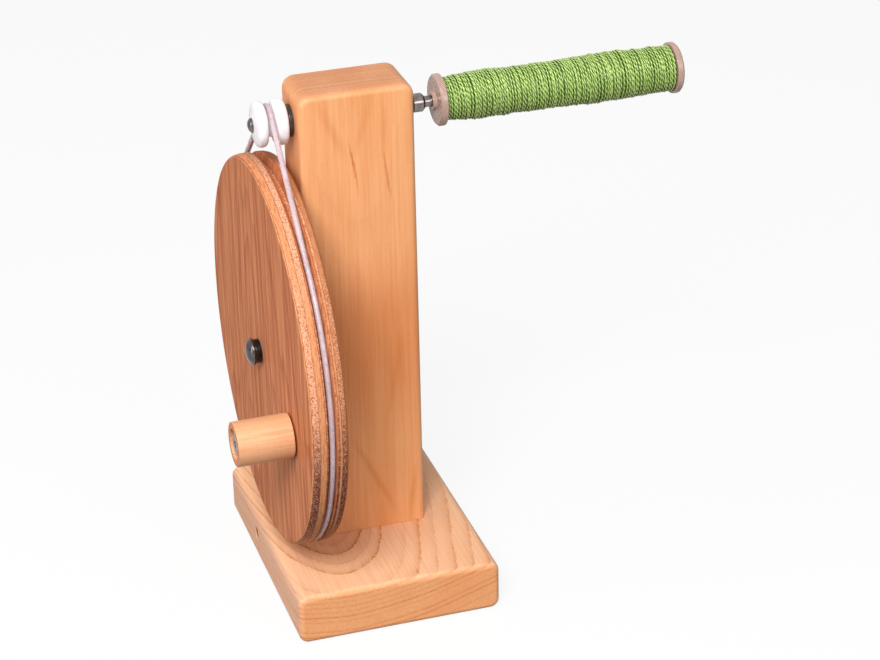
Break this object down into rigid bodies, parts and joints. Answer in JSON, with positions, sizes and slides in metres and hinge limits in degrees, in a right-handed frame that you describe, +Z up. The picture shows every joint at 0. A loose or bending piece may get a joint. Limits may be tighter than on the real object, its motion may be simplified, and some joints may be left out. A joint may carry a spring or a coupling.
{
  "type": "bobbin winder",
  "caption": "Hand bobbin winder: a wooden post on a base carries a cranked plywood wheel that spins a steel spindle through a round drive band, with a yarn-filled bobbin on the spindle.",
  "frame": {"origin": "centre of the base's underside", "axes": "+X along the spindle from the crank side to the bobbin, +Y from the front of the base to its back, +Z up"},
  "size_m": [0.2006, 0.1586, 0.2163],
  "materials": {
    "base_wood": "satin lacquered beech",
    "post_wood": "satin lacquered beech",
    "wheel_plywood": "satin lacquered plywood",
    "knob_wood": "satin lacquered beech",
    "zinc_steel": "zinc plated",
    "satin_steel": "satin",
    "dark_steel": "dark, half gloss",
    "bright_steel": "bright turned",
    "insert_brass": "turned",
    "black_nylon": "moulded, half gloss",
    "white_nylon": "moulded, satin",
    "band_rubber": "milky, smooth",
    "bobbin_plastic": "moulded, glossy",
    "green_yarn": "plied yarn"
  },
  "bodies": {
    "stand": {"base_board": "base_wood", "post": "post_wood", "base_screws": "zinc_steel", "left_spindle_bush": "black_nylon", "right_spindle_bush": "black_nylon", "axle_insert": "insert_brass", "wheel_spacer": "zinc_steel", "axle_bolt": "satin_steel", "axle_ring": "dark_steel", "drive_band": "band_rubber"},
    "wheel": {"drive_wheel": "wheel_plywood", "wheel_bush": "white_nylon", "crank_nut": "zinc_steel", "crank_screw": "satin_steel", "crank_washer": "dark_steel"},
    "knob": {"crank_knob": "knob_wood"},
    "spindle": {"spindle": "bright_steel", "pulley": "white_nylon", "pulley_screw": "dark_steel"},
    "bobbin": {"bobbin": "bobbin_plastic", "yarn_core": "green_yarn", "yarn_winding": "green_yarn"}
  },
  "joints": [
    {"name": "wheel_spin", "type": "hinge", "parent": "stand", "child": "wheel", "pos_m": [-0.0319, 0, 0.105], "axis": [1, 0, 0], "continuous": true},
    {"name": "knob_spin", "type": "hinge", "parent": "wheel", "child": "knob", "pos_m": [-0.0512, -0.04691, 0.09084], "axis": [1, 0, 0], "continuous": true},
    {"name": "spindle_spin", "type": "hinge", "parent": "stand", "child": "spindle", "pos_m": [0, 0, 0.20225], "axis": [1, 0, 0], "continuous": true},
    {"name": "bobbin_slide", "type": "slide", "parent": "spindle", "child": "bobbin", "axis": [1, 0, 0], "range_m": [0, 0.105]}
  ],
  "couplings": [
    {"joint": "spindle_spin", "follows": "wheel_spin", "ratio": 11.597}
  ]
}
